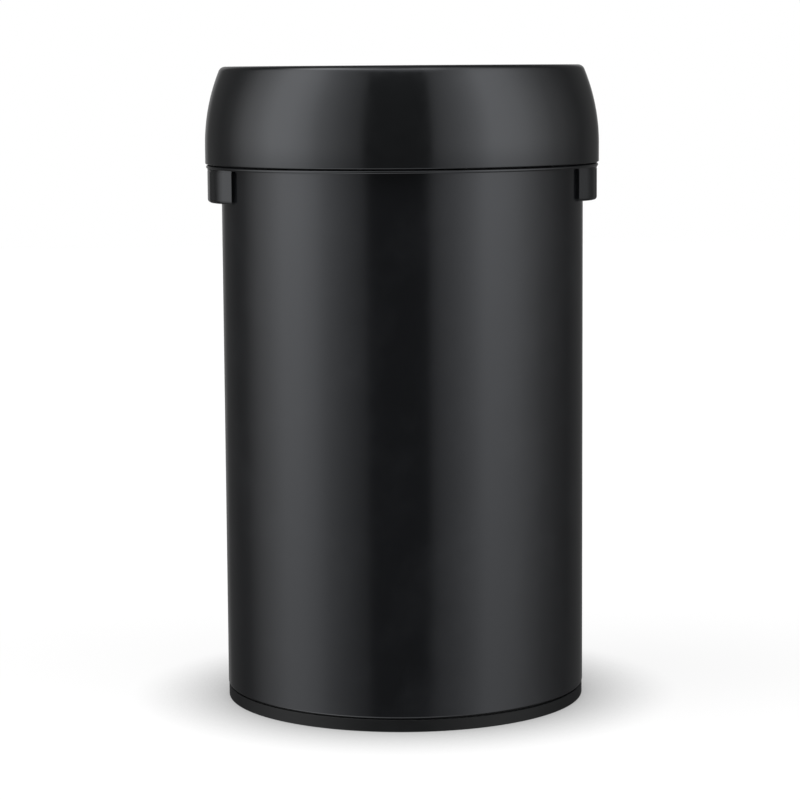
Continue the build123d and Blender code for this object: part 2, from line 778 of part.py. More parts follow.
# Handle sleeve: a tube round the middle of the hoop
with BuildPart() as bail_grip:
    with BuildSketch(section_plane(90 - bail_grip_angle / 2)):
        with Locations((bail_radius, bail_height)):
            Circle(bail_grip_radius)
            Circle(bail_wire_radius + hole_gap, mode=Mode.SUBTRACT)
    revolve(axis=Axis.Z, revolution_arc=bail_grip_angle)
bail_grip.part.label = "bail_grip"
export_step(bail_grip.part, "parts/bail_grip.step")
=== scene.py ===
import math

import bmesh
import bpy
from mathutils import Matrix, Vector


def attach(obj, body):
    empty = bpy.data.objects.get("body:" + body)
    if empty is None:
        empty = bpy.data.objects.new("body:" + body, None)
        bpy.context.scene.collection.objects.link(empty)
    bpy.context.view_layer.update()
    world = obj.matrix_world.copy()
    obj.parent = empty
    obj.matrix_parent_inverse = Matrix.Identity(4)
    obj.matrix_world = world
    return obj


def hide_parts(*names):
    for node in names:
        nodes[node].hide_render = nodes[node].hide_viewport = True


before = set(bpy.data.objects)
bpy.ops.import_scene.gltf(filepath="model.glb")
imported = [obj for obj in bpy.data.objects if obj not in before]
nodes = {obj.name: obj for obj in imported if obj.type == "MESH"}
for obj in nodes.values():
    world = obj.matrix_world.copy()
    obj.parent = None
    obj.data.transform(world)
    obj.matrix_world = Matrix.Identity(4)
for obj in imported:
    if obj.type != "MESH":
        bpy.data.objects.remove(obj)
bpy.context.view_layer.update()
mm = 0.001
print("bin: frame loaded,", len(nodes), "nodes")


def hexColour(text):  # sRGB hex to the linear values that shaders take
    parts = [int(text[i:i + 2], 16) / 255 for i in (0, 2, 4)]
    return tuple(c / 12.92 if c <= 0.04045 else ((c + 0.055) / 1.055) ** 2.4 for c in parts) + (1.0,)


def addNode(tree, kind, settings=None, links=None):  # one node, its settings and what feeds it
    node = tree.nodes.new(kind)
    for name, value in (settings or {}).items():
        if hasattr(node, name):
            setattr(node, name, value)
        else:
            node.inputs[name].default_value = value
    for name, source in (links or {}).items():
        tree.links.new(source, node.inputs[name])
    return node


def newMaterial(name):
    mat = bpy.data.materials.new(name)
    mat.use_nodes = True
    tree = mat.node_tree
    tree.nodes.clear()
    coords = addNode(tree, "ShaderNodeTexCoord").outputs["Object"]
    return mat, tree, coords


def mixColours(tree, factor, first, second):
    mix = addNode(tree, "ShaderNodeMix", {"data_type": "RGBA"})
    mix.inputs[6].default_value = first
    mix.inputs[7].default_value = second
    tree.links.new(factor, mix.inputs[0])
    return mix.outputs[2]


def mapped(tree, value, low, high, fromLow=0.0, fromHigh=1.0):
    ends = {"From Min": fromLow, "From Max": fromHigh, "To Min": low, "To Max": high}
    return addNode(tree, "ShaderNodeMapRange", ends, {"Value": value}).outputs["Result"]


def maths(tree, operation, *values):  # each value is a number or another node's socket
    node = addNode(tree, "ShaderNodeMath", {"operation": operation})
    for socket, value in zip(node.inputs, values):
        if isinstance(value, float):
            socket.default_value = value
        else:
            tree.links.new(value, socket)
    return node.outputs[0]


def noise(tree, coords, sizeMm, detail, roughness=0.5):
    settings = {"Scale": 1 / (sizeMm * mm), "Detail": detail, "Roughness": roughness}
    return addNode(tree, "ShaderNodeTexNoise", settings, {"Vector": coords}).outputs["Fac"]


def finishMaterial(tree, shader):
    addNode(tree, "ShaderNodeOutputMaterial", None, {"Surface": shader.outputs[0]})


def principled(tree, optics, colour, rough, height, sizes):  # the surface itself, with its fine relief
    depth = sizes["bumpMm"] * mm
    bump = addNode(tree, "ShaderNodeBump", {"Strength": sizes["bump"], "Distance": depth}, {"Height": height})
    shader = addNode(tree, "ShaderNodeBsdfPrincipled", optics,
                     {"Base Color": colour, "Roughness": rough, "Normal": bump.outputs["Normal"]})
    finishMaterial(tree, shader)


def cameraRays(tree):  # 1 where the camera looks straight or through something clear, else 0
    rays = addNode(tree, "ShaderNodeLightPath")
    return maths(tree, "MAXIMUM", rays.outputs["Is Camera Ray"], rays.outputs["Is Transmission Ray"])


# Powder-coated mild steel: a thin satin skin with a faint orange peel and a few dull rub marks
paint = {"colour": "131416", "worn": "1b1c1e", "peelMm": 1.6, "markMm": 55.0, "wornFrom": (0.48, 0.75),
         "roughness": (0.15, 0.20), "spread": (0.35, 0.7), "ior": 1.52, "gleam": "f6f9ff",
         "bump": 0.06, "bumpMm": 0.2}


def paintedSteel():
    mat, tree, coords = newMaterial("powderCoatedSteel")
    peel = noise(tree, coords, paint["peelMm"], 2.0)
    marks = noise(tree, coords, paint["markMm"], 6.0, 0.6)
    wear = mapped(tree, marks, 0.0, 1.0, *paint["wornFrom"])
    colour = mixColours(tree, wear, hexColour(paint["colour"]), hexColour(paint["worn"]))
    rough = mapped(tree, marks, *paint["roughness"], *paint["spread"])
    optics = {"IOR": paint["ior"], "Specular Tint": hexColour(paint["gleam"])}
    principled(tree, optics, colour, rough, peel, paint)
    return mat


# Injection-moulded ABS from a polished tool: smoother than the paint, with a slight flow ripple.
# The groove behind the gap between lid and rim band is left unpolished.
moulded = {"colour": "131415", "pale": "18191a", "rippleMm": 14.0, "grainMm": 0.9, "roughness": (0.12, 0.16),
           "spread": (0.3, 0.7), "ior": 1.545, "gleam": "f6f9ff", "bump": 0.04, "bumpMm": 0.15,
           "grooveMm": 194.4, "grooveEdgeMm": 0.5, "grooveHeights": (533.0, 546.0), "grooveRoughness": 0.75}


def mouldedPlastic():
    mat, tree, coords = newMaterial("mouldedBlackAbs")
    ripple = noise(tree, coords, moulded["rippleMm"], 3.0)
    grain = noise(tree, coords, moulded["grainMm"], 1.0)
    colour = mixColours(tree, ripple, hexColour(moulded["colour"]), hexColour(moulded["pale"]))
    polished = mapped(tree, ripple, *moulded["roughness"], *moulded["spread"])
    place = addNode(tree, "ShaderNodeSeparateXYZ", None, {"Vector": coords})
    level = addNode(tree, "ShaderNodeCombineXYZ", None, {"X": place.outputs["X"], "Y": place.outputs["Y"]})
    reach = addNode(tree, "ShaderNodeVectorMath", {"operation": "LENGTH"}, {0: level.outputs[0]})
    groove, (low, high) = moulded["grooveMm"], moulded["grooveHeights"]
    edge = groove - moulded["grooveEdgeMm"]
    within = mapped(tree, reach.outputs["Value"], 1.0, 0.0, edge * mm, groove * mm)
    beside = maths(tree, "COMPARE", place.outputs["Z"], (low + high) / 2 * mm, (high - low) / 2 * mm)
    unpolished = maths(tree, "MULTIPLY", within, beside)
    rough = addNode(tree, "ShaderNodeMix", {"data_type": "FLOAT"}, {0: unpolished, 2: polished})
    rough.inputs[3].default_value = moulded["grooveRoughness"]
    optics = {"IOR": moulded["ior"], "Specular Tint": hexColour(moulded["gleam"])}
    principled(tree, optics, colour, rough.outputs[0], grain, moulded)
    return mat


# Polypropylene with a spark-eroded grain: matte, a shade darker than the gloss parts
grained = {"colour": "0f1011", "pale": "151617", "grainMm": 0.8, "patchMm": 30.0, "roughness": (0.40, 0.50),
           "spread": (0.3, 0.7), "ior": 1.49, "gleam": 0.22, "bump": 0.22, "bumpMm": 0.2}


def grainedPlastic(name="grainedPolypropylene", sizes=grained):
    mat, tree, coords = newMaterial(name)
    grain = noise(tree, coords, sizes["grainMm"], 3.0, 0.7)
    patch = noise(tree, coords, sizes["patchMm"], 4.0)
    colour = mixColours(tree, patch, hexColour(sizes["colour"]), hexColour(sizes["pale"]))
    rough = mapped(tree, patch, *sizes["roughness"], *sizes["spread"])
    optics = {"IOR": sizes["ior"], "Specular IOR Level": sizes["gleam"]}
    principled(tree, optics, colour, rough, grain, sizes)
    return mat


# Extruded polyethylene sleeve of the handle: the same kind of grain, finer and paler
sleeve = {"colour": "1d1e20", "pale": "28292b", "grainMm": 0.6, "patchMm": 18.0, "roughness": (0.40, 0.52),
          "spread": (0.3, 0.7), "ior": 1.5, "gleam": 0.4, "bump": 0.22, "bumpMm": 0.2}

# Hot-dip galvanised sheet: grey crystals a centimetre wide, each with its own shade and dullness
zinc = {"light": "b4b8ba", "dark": "868b8f", "spangleMm": 11.0, "scratchMm": 1.4, "drawn": (1.0, 1.0, 0.04),
        "roughness": (0.26, 0.44), "bump": 0.08, "bumpMm": 0.2}


def galvanisedSheet():
    mat, tree, coords = newMaterial("galvanisedSheet")
    scale = 1 / (zinc["spangleMm"] * mm)
    spangle = addNode(tree, "ShaderNodeTexVoronoi", {"Scale": scale, "Randomness": 1.0}, {"Vector": coords})
    shade = addNode(tree, "ShaderNodeSeparateColor", None, {"Color": spangle.outputs["Color"]})
    drawn = addNode(tree, "ShaderNodeMapping", {"Scale": zinc["drawn"]}, {"Vector": coords})
    scratch = noise(tree, drawn.outputs["Vector"], zinc["scratchMm"], 4.0)
    colour = mixColours(tree, shade.outputs["Red"], hexColour(zinc["light"]), hexColour(zinc["dark"]))
    rough = mapped(tree, shade.outputs["Green"], *zinc["roughness"])
    principled(tree, {"Metallic": 1.0}, colour, rough, scratch, zinc)
    return mat


# Zinc-plated steel, bright from the bath and slightly cloudy where it was handled
plated = {"light": "c3c5c6", "dark": "9a9c9e", "cloudMm": 6.0, "toolMm": 0.7, "roughness": (0.20, 0.38),
          "spread": (0.3, 0.7), "bump": 0.08, "bumpMm": 0.1}


def platedSteel():
    mat, tree, coords = newMaterial("zincPlatedSteel")
    cloud = noise(tree, coords, plated["cloudMm"], 4.0)
    tool = noise(tree, coords, plated["toolMm"], 2.0)
    colour = mixColours(tree, cloud, hexColour(plated["light"]), hexColour(plated["dark"]))
    rough = mapped(tree, cloud, *plated["roughness"], *plated["spread"])
    principled(tree, {"Metallic": 1.0}, colour, rough, tool, plated)
    return mat


finishes = {
    "paint": paintedSteel(),
    "gloss": mouldedPlastic(),
    "matte": grainedPlastic(),
    "sleeve": grainedPlastic("extrudedPolyethylene", sleeve),
    "zinc": galvanisedSheet(),
    "plated": platedSteel(),
}
finishOf = {
    "paint": ["body_shell", "bottom_plate"],
    "gloss": ["rim_ring", "lid_collar", "grip_left", "grip_right"],
    "matte": ["foot_ring", "lid_funnel"],
    "sleeve": ["bail_grip"],
    "zinc": ["bucket_shell", "bucket_base"],
    "plated": ["foot_screws", "funnel_screws", "grip_plate_left", "grip_plate_right", "grip_screws_left",
               "grip_screws_right", "bail_ear_left", "bail_ear_right", "bail_rivets", "bail_wire"],
}
for finish, names in finishOf.items():
    for name in names:
        for place in nodes[name].material_slots:
            place.material = finishes[finish]
print("bin: finishes on", sum(len(names) for names in finishOf.values()), "nodes")

creaseDegrees = 28


def settle(piece, finish):  # one material slot, rounded shading with crisp edges
    mesh = piece.data
    mesh.name = piece.name
    mesh.materials.clear()
    mesh.materials.append(finish)
    mesh.polygons.foreach_set("material_index", [0] * len(mesh.polygons))
    mesh.polygons.foreach_set("use_smooth", [True] * len(mesh.polygons))
    mesh.set_sharp_from_angle(angle=math.radians(creaseDegrees))


def newObject(name, data):
    made = bpy.data.objects.new(name, data)
    bpy.context.scene.collection.objects.link(made)
    return made


def shapeTree(name, inputs):  # geometry node group with named inputs and one result
    tree = bpy.data.node_groups.new(name, "GeometryNodeTree")
    made = {}
    for label, kind in inputs.items():
        made[label] = tree.interface.new_socket(name=label, in_out="INPUT", socket_type="NodeSocket" + kind)
    tree.interface.new_socket(name="Result", in_out="OUTPUT", socket_type="NodeSocketGeometry")
    given = addNode(tree, "NodeGroupInput").outputs
    return tree, given, {label: socket.identifier for label, socket in made.items()}


def endTree(tree, shape, finish):
    real = addNode(tree, "GeometryNodeRealizeInstances", None, {"Geometry": shape})
    coated = addNode(tree, "GeometryNodeSetMaterial", None, {"Geometry": real.outputs[0], "Material": finish})
    addNode(tree, "NodeGroupOutput", None, {"Result": coated.outputs[0]})


def bakeShape(piece, tree, sockets, values):  # runs the group once and keeps its result as a plain mesh
    layout = piece.modifiers.new("layout", "NODES")
    layout.node_group = tree
    for label, value in values.items():
        layout[sockets[label]] = value
    mesh = bpy.data.meshes.new_from_object(piece.evaluated_get(bpy.context.evaluated_depsgraph_get()))
    piece.modifiers.clear()
    piece.data = mesh


def handOver(piece, node, body):
    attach(piece, body)
    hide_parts(node)


def blocks(name, outlines):  # closed blocks, each a flat outline in millimetres moved along a vector
    shape = bmesh.new()
    for outline, along in outlines:
        low = [shape.verts.new(Vector(point) * mm) for point in outline]
        high = [shape.verts.new((Vector(point) + Vector(along)) * mm) for point in outline]
        shape.faces.new(low)
        shape.faces.new(high)
        for i, start in enumerate(low):
            j = (i + 1) % len(low)
            shape.faces.new((start, low[j], high[j], high[i]))
    bmesh.ops.recalc_face_normals(shape, faces=shape.faces)
    mesh = bpy.data.meshes.new(name)
    shape.to_mesh(mesh)
    shape.free()
    return newObject(name, mesh)


def around(radius, degrees, height):
    turn = math.radians(degrees)
    return Vector((radius * math.cos(turn), radius * math.sin(turn), height))


def disc(place, way, radius, count=32):  # outline of a round bar that points along a direction
    across = way.orthogonal().normalized()
    aside = way.cross(across).normalized()
    steps = [2 * math.pi * i / count for i in range(count)]
    return [place + (across * math.cos(a) + aside * math.sin(a)) * radius for a in steps]


def arc(centre, radius, first, last, steps):  # points of a rounded corner in a section
    turns = [math.radians(first + (last - first) * i / steps) for i in range(steps + 1)]
    return [(centre[0] + radius * math.cos(a), centre[1] + radius * math.sin(a)) for a in turns]


def spinTree():  # section carried round a circle, with what is moulded on joined and the holes cut
    tree, given, sockets = shapeTree("spunShell", {"Section": "Geometry", "Radius": "Float", "Segments": "Int",
                                                   "Added": "Object", "Holes": "Object", "Finish": "Material"})
    section = addNode(tree, "GeometryNodeMeshToCurve", None, {"Mesh": given["Section"]})
    path = addNode(tree, "GeometryNodeCurvePrimitiveCircle", None,
                   {"Resolution": given["Segments"], "Radius": given["Radius"]})
    swept = addNode(tree, "GeometryNodeCurveToMesh", None,
                    {"Curve": path.outputs[0], "Profile Curve": section.outputs[0]})
    shell = addNode(tree, "GeometryNodeFlipFaces", None, {"Mesh": swept.outputs[0]})  # outwards again
    added = addNode(tree, "GeometryNodeObjectInfo", None, {"Object": given["Added"]})
    holes = addNode(tree, "GeometryNodeObjectInfo", None, {"Object": given["Holes"]})
    joined = addNode(tree, "GeometryNodeMeshBoolean", {"operation": "UNION", "solver": "MANIFOLD"})
    tree.links.new(shell.outputs[0], joined.inputs["Mesh 2"])
    tree.links.new(added.outputs["Geometry"], joined.inputs["Mesh 2"])
    cut = addNode(tree, "GeometryNodeMeshBoolean", {"operation": "DIFFERENCE", "solver": "MANIFOLD"},
                  {"Mesh 1": joined.outputs["Mesh"]})
    tree.links.new(holes.outputs["Geometry"], cut.inputs["Mesh 2"])
    endTree(tree, cut.outputs["Mesh"], given["Finish"])
    return tree, sockets


def spunPiece(name, node, body, finish, sizes, section, added, holes):
    mesh = bpy.data.meshes.new(name)
    points = [((r - sizes["radius"]) * mm, -z * mm, 0.0) for r, z in section]
    mesh.from_pydata(points, [(i, (i + 1) % len(points)) for i in range(len(points))], [])
    piece = newObject(name, mesh)
    bakeShape(piece, spin, spinSockets, {"Radius": sizes["radius"] * mm, "Segments": sizes["segments"],
                                         "Added": added, "Holes": holes, "Finish": finish})
    settle(piece, finish)
    bpy.data.objects.remove(added)
    bpy.data.objects.remove(holes)
    handOver(piece, node, body)


spin, spinSockets = spinTree()

# Body: rolled sheet tube with its bottom edge turned in and a lap seam inside the back, in millimetres
tube = {"radius": 180.0, "sheet": 0.8, "low": 13.0, "high": 532.7, "edgeBore": 163.0, "bend": 2.0,
        "segments": 288, "bendSteps": 8, "lapWidth": 12.0, "lapHeights": (29.6, 501.7), "lapSteps": 8,
        "holeRadius": 2.6, "holeHeight": 517.7, "holeInset": 3.0, "holeReach": 6.0,
        "holeAngles": (-14.5, 14.5, 165.5, 194.5)}


def tubeSection():
    bore, floor = tube["radius"] - tube["sheet"], tube["low"] + tube["sheet"]
    centre = (tube["radius"] - tube["bend"], tube["low"] + tube["bend"])
    outside = arc(centre, tube["bend"], -90, 0, tube["bendSteps"])
    inside = arc(centre, tube["bend"] - tube["sheet"], 0, -90, tube["bendSteps"])
    edge = [(tube["radius"], tube["high"]), (bore, tube["high"])]
    return [(tube["edgeBore"], tube["low"])] + outside + edge + inside + [(tube["edgeBore"], floor)]


def tubeLap():
    half = math.degrees(tube["lapWidth"] / tube["radius"]) / 2
    low, high = tube["lapHeights"]
    bore = tube["radius"] - tube["sheet"]
    turns = [90 - half + half * i / (tube["lapSteps"] / 2) for i in range(tube["lapSteps"] + 1)]
    outline = [around(bore + tube["sheet"] / 2, a, low) for a in turns]
    outline += [around(bore - tube["sheet"], a, low) for a in reversed(turns)]
    return blocks("lap", [(outline, (0, 0, high - low))])


def tubeHoles():
    bars = []
    for angle in tube["holeAngles"]:
        way = around(1.0, angle, 0.0)
        start = way * (tube["radius"] - tube["holeInset"]) + Vector((0, 0, tube["holeHeight"]))
        bars.append((disc(start, way, tube["holeRadius"]), way * tube["holeReach"]))
    return blocks("tubeHoles", bars)


spunPiece("bodyTube", "body_shell", "bin", finishes["paint"], tube, tubeSection(),
          tubeLap(), tubeHoles())
print("bin: body tube spun")

# Lid collar: moulded wall from the lip over the rolled rim to the mouth, with ribs and screw bosses inside
collar = {"radius": 195.9, "wall": 2.5, "lip": 537.0, "bend": 555.1, "top": 632.7, "arcRadius": 192.0,
          "rimRadius": 7.0, "mouth": 166.12, "mouthEdge": 4.6, "returnDepth": 18.5, "lipRadius": 1.1,
          "segments": 288, "lipSteps": 6, "arcSteps": 24, "rimSteps": 12, "edgeSteps": 10,
          "ribCount": 12, "ribThickness": 2.4, "bossCount": 6, "bossCircle": 175.12, "bossRadius": 4.0,
          "bossSeat": 613.7, "holeRadius": 1.6, "holeDepth": 11.0, "holeRunIn": 1.0}
collarRib = [(185.1, 535.7), (192.3, 535.7), (194.65, 538.3), (194.65, 561.7), (185.1, 548.7)]


def collarSection():
    wall, rim, edge, lip = collar["wall"], collar["rimRadius"], collar["mouthEdge"], collar["lipRadius"]
    hub = (collar["radius"] - collar["arcRadius"], collar["bend"])
    rise = collar["top"] - rim - hub[1]
    reach = math.sqrt((collar["arcRadius"] - rim) ** 2 - rise ** 2)
    rimCentre, sweep = (hub[0] + reach, hub[1] + rise), math.degrees(math.atan2(rise, reach))
    points = arc((collar["radius"] - lip, collar["lip"] + lip), lip, -90, 0, collar["lipSteps"])
    points += arc(hub, collar["arcRadius"], 0, sweep, collar["arcSteps"])
    points += arc(rimCentre, rim, sweep, 90, collar["rimSteps"])[1:]
    points += arc((collar["mouth"] + edge, collar["top"] - edge), edge, 90, 180, collar["edgeSteps"])
    points += [(collar["mouth"], collar["top"] - collar["returnDepth"]),
               (collar["mouth"] + wall, collar["top"] - collar["returnDepth"]),
               (collar["mouth"] + wall, collar["top"] - wall)]
    points += arc(rimCentre, rim - wall, 90, sweep, collar["edgeSteps"])
    points += arc(hub, collar["arcRadius"] - wall, sweep, 0, collar["arcSteps"])[1:]
    points += arc((collar["radius"] - wall + lip, collar["lip"] + lip), lip, 180, 270, collar["lipSteps"])
    return points


def collarRibsAndBosses():
    parts = []
    for i in range(collar["ribCount"]):
        angle = (i + 0.5) * 360 / collar["ribCount"]
        aside = around(1.0, angle + 90, 0.0)
        face = [around(r, angle, z) - aside * collar["ribThickness"] / 2 for r, z in collarRib]
        parts.append((face, aside * collar["ribThickness"]))
    rise = collar["top"] - collar["wall"] / 2 - collar["bossSeat"]
    for i in range(collar["bossCount"]):
        place = around(collar["bossCircle"], 360 * i / collar["bossCount"], collar["bossSeat"])
        parts.append((disc(place, Vector((0, 0, 1)), collar["bossRadius"]), (0, 0, rise)))
    return blocks("ribsAndBosses", parts)


def collarHoles():
    bars = []
    start, reach = collar["bossSeat"] - collar["holeRunIn"], collar["holeDepth"] + collar["holeRunIn"]
    for i in range(collar["bossCount"]):
        place = around(collar["bossCircle"], 360 * i / collar["bossCount"], start)
        bars.append((disc(place, Vector((0, 0, 1)), collar["holeRadius"]), (0, 0, reach)))
    return blocks("bossHoles", bars)


spunPiece("lidCollar", "lid_collar", "lid", finishes["gloss"], collar, collarSection(),
          collarRibsAndBosses(), collarHoles())
print("bin: lid collar spun")

# Zinc-plated screws and rivets, in millimetres: one turned blank each, set out by Geometry Nodes.
# A profile runs from the head to the tip as radius and height over the seat.
panScrew = [(0.0, -1.0), (0.60, -0.98), (0.86, -0.82), (0.97, -0.52), (1.0, -0.2), (1.0, 0.0)]
screws = {
    "foot": {"headRadius": 3.5, "headHeight": 2.2, "radius": 1.75, "length": 9.0,
             "circle": 169.95, "height": 9.4},
    "grip": {"headRadius": 4.3, "headHeight": 2.6, "radius": 2.5, "length": 13.5,
             "circle": 174.65, "height": 517.7},
    "funnel": {"headRadius": 3.0, "headHeight": 2.0, "radius": 1.5, "length": 11.0,
               "circle": 175.12, "height": 611.5},
    "turns": 32, "count": 6, "gripAngles": (-14.5, 14.5), "tipShare": 0.45, "seed": 7,
    "recessShare": 0.62, "recessWidth": 1.1, "recessRunIn": 1.0,
}
rivet = {"headRadius": 3.6, "headHeight": 1.4, "radius": 2.0, "grip": 3.55, "circle": 164.6,
         "heights": (526.7, 514.7)}


def turnedBlank(name, profile):  # spins a half profile round z into one closed shell
    shape = bmesh.new()
    steps = [shape.verts.new((r * mm, 0, z * mm)) for r, z in profile]
    edges = [shape.edges.new(pair) for pair in zip(steps, steps[1:])]
    bmesh.ops.spin(shape, geom=steps + edges, cent=(0, 0, 0), axis=(0, 0, 1), angle=2 * math.pi,
                   steps=screws["turns"], use_merge=True)
    bmesh.ops.remove_doubles(shape, verts=shape.verts, dist=0.001 * mm)
    bmesh.ops.recalc_face_normals(shape, faces=shape.faces)
    mesh = bpy.data.meshes.new(name)
    shape.to_mesh(mesh)
    shape.free()
    return newObject(name, mesh)


def screwBlank(name, sizes):
    head = [(r * sizes["headRadius"], z * sizes["headHeight"]) for r, z in panScrew]
    core, length = sizes["radius"], sizes["length"]
    shank = [(core, 0.0), (core, length - core), (screws["tipShare"] * core, length), (0.0, length)]
    return turnedBlank(name, head + shank)


def rivetBlank():
    dome = [(r * rivet["headRadius"], z * rivet["headHeight"]) for r, z in panScrew]
    far = [(r, rivet["grip"] - z) for r, z in reversed(dome)]
    shank = [(rivet["radius"], 0.0), (rivet["radius"], rivet["grip"])]
    return turnedBlank("rivetBlank", dome + shank + far)


def fixingTree():  # blank, cut with a cross recess, onto every seat and turned to face the right way
    tree, given, sockets = shapeTree("fixingsOnSeats", {
        "Seats": "Geometry", "Blank": "Object", "Recessed": "Bool", "Recess": "Object",
        "Recess Height": "Float", "Seed": "Int", "Finish": "Material"})
    blank = addNode(tree, "GeometryNodeObjectInfo", None, {"Object": given["Blank"]}).outputs["Geometry"]
    cross = addNode(tree, "GeometryNodeObjectInfo", None, {"Object": given["Recess"]}).outputs["Geometry"]
    lift = addNode(tree, "ShaderNodeCombineXYZ", None, {"Z": given["Recess Height"]})
    lowered = addNode(tree, "GeometryNodeTransform", None,
                      {"Geometry": cross, "Translation": lift.outputs[0]})
    cut = addNode(tree, "GeometryNodeMeshBoolean", {"operation": "DIFFERENCE"})
    tree.links.new(blank, cut.inputs["Mesh 1"])
    tree.links.new(lowered.outputs[0], cut.inputs["Mesh 2"])
    chosen = addNode(tree, "GeometryNodeSwitch", {"input_type": "GEOMETRY"},
                     {"Switch": given["Recessed"], "False": blank, "True": cut.outputs["Mesh"]})
    twist = addNode(tree, "FunctionNodeRandomValue", {"data_type": "FLOAT"}, {"Seed": given["Seed"]})
    twist.inputs[3].default_value = math.pi / 2
    spun = addNode(tree, "ShaderNodeCombineXYZ", None, {"Z": twist.outputs[1]})
    start = addNode(tree, "FunctionNodeEulerToRotation", None, {"Euler": spun.outputs[0]})
    facing = addNode(tree, "GeometryNodeInputNamedAttribute",
                     {"data_type": "FLOAT_VECTOR", "Name": "facing"})
    turned = addNode(tree, "FunctionNodeAlignRotationToVector", {"axis": "Z"},
                     {"Rotation": start.outputs[0], "Vector": facing.outputs["Attribute"]})
    placed = addNode(tree, "GeometryNodeInstanceOnPoints", None,
                     {"Points": given["Seats"], "Instance": chosen.outputs[0], "Rotation": turned.outputs[0]})
    endTree(tree, placed.outputs[0], given["Finish"])
    return tree, sockets


def placeFixings(name, node, body, blank, seats, recess):  # seats are pairs of place and facing
    mesh = bpy.data.meshes.new(name)
    mesh.from_pydata([place for place, _ in seats], [], [])
    facing = mesh.attributes.new("facing", "FLOAT_VECTOR", "POINT")
    for i, (_, way) in enumerate(seats):
        facing.data[i].vector = way
    piece = newObject(name, mesh)
    bakeShape(piece, fixings, fixingSockets,
              {"Blank": blank, "Finish": finishes["plated"], "Seed": screws["seed"], **recess})
    for spare in [blank] + [value for value in recess.values() if isinstance(value, bpy.types.Object)]:
        bpy.data.objects.remove(spare)
    settle(piece, finishes["plated"])
    handOver(piece, node, body)


def radialSeat(radius, degrees, height):  # a seat on an upright wall, facing out from the bin's axis
    return around(radius * mm, degrees, height * mm), around(1.0, degrees, 0.0)


def risingSeats(sizes):  # seats on a ring, facing up
    turns = [360 * i / screws["count"] for i in range(screws["count"])]
    return [(around(sizes["circle"] * mm, turn, sizes["height"] * mm), Vector((0, 0, 1))) for turn in turns]


def screwRecess(sizes):  # plus-shaped cutter that stands over the head's middle
    reach, half = sizes["headRadius"] * screws["recessShare"], screws["recessWidth"] / 2
    depth, runIn = sizes["headHeight"] * screws["recessShare"], screws["recessRunIn"]
    plus = [(reach, half), (half, half), (half, reach), (-half, reach), (-half, half), (-reach, half),
            (-reach, -half), (-half, -half), (-half, -reach), (half, -reach), (half, -half), (reach, -half)]
    cutter = blocks("recess", [([(x, y, -runIn) for x, y in plus], (0, 0, runIn + depth))])
    return {"Recessed": True, "Recess": cutter, "Recess Height": -sizes["headHeight"] * mm}


fixings, fixingSockets = fixingTree()
for name, node, body, kind in (("footScrews", "foot_screws", "bin", "foot"),
                               ("funnelScrews", "funnel_screws", "lid", "funnel")):
    sizes = screws[kind]
    placeFixings(name, node, body, screwBlank(kind + "Blank", sizes), risingSeats(sizes), screwRecess(sizes))
for name, node, side in (("gripScrewsRight", "grip_screws_right", 0),
                         ("gripScrewsLeft", "grip_screws_left", 180)):
    sizes = screws["grip"]
    seats = [radialSeat(sizes["circle"], side + angle, sizes["height"]) for angle in screws["gripAngles"]]
    placeFixings(name, node, "bin", screwBlank(name + "Blank", sizes), seats, screwRecess(sizes))
rivetSeats = [radialSeat(rivet["circle"], side, height) for side in (0, 180) for height in rivet["heights"]]
placeFixings("bailRivets", "bail_rivets", "bucket", rivetBlank(), rivetSeats, {"Recessed": False})
print("bin: screws and rivets placed")

# White studio floor: pale paper that keeps the bin's shadow, has a painted contact shadow near the bin, and is
# left out of the bin's own reflections
studioFloor = {"size": 14.0, "colour": "878787", "lift": 0.825, "contact": 0.10, "contactPower": 1.05,
               "contactSamples": 8}


def layFloor():
    half = studioFloor["size"] / 2
    corners = [(-half, -half, 0), (half, -half, 0), (half, half, 0), (-half, half, 0)]
    mesh = bpy.data.meshes.new("studioFloor")
    mesh.from_pydata(corners, [], [(0, 1, 2, 3)])
    floor = newObject("studioFloor", mesh)
    mat, tree, _ = newMaterial("studioPaper")
    # Painted contact shadow: ambient occlusion near the bin darkens both the paper's colour and its glow
    near = addNode(tree, "ShaderNodeAmbientOcclusion",
                   {"Distance": studioFloor["contact"], "samples": studioFloor["contactSamples"]})
    paintedContactShadow = maths(tree, "POWER", near.outputs["AO"], studioFloor["contactPower"])
    shade = mixColours(tree, paintedContactShadow, hexColour("000000"), hexColour(studioFloor["colour"]))
    paper = addNode(tree, "ShaderNodeBsdfDiffuse", None, {"Color": shade})
    level = maths(tree, "MULTIPLY", paintedContactShadow, studioFloor["lift"])
    strength = maths(tree, "MULTIPLY", cameraRays(tree), level)
    glow = addNode(tree, "ShaderNodeEmission", None, {"Strength": strength})
    both = addNode(tree, "ShaderNodeAddShader")
    tree.links.new(paper.outputs[0], both.inputs[0])
    tree.links.new(glow.outputs[0], both.inputs[1])
    finishMaterial(tree, both)
    mesh.materials.append(mat)
    floor.visible_glossy = False


layFloor()

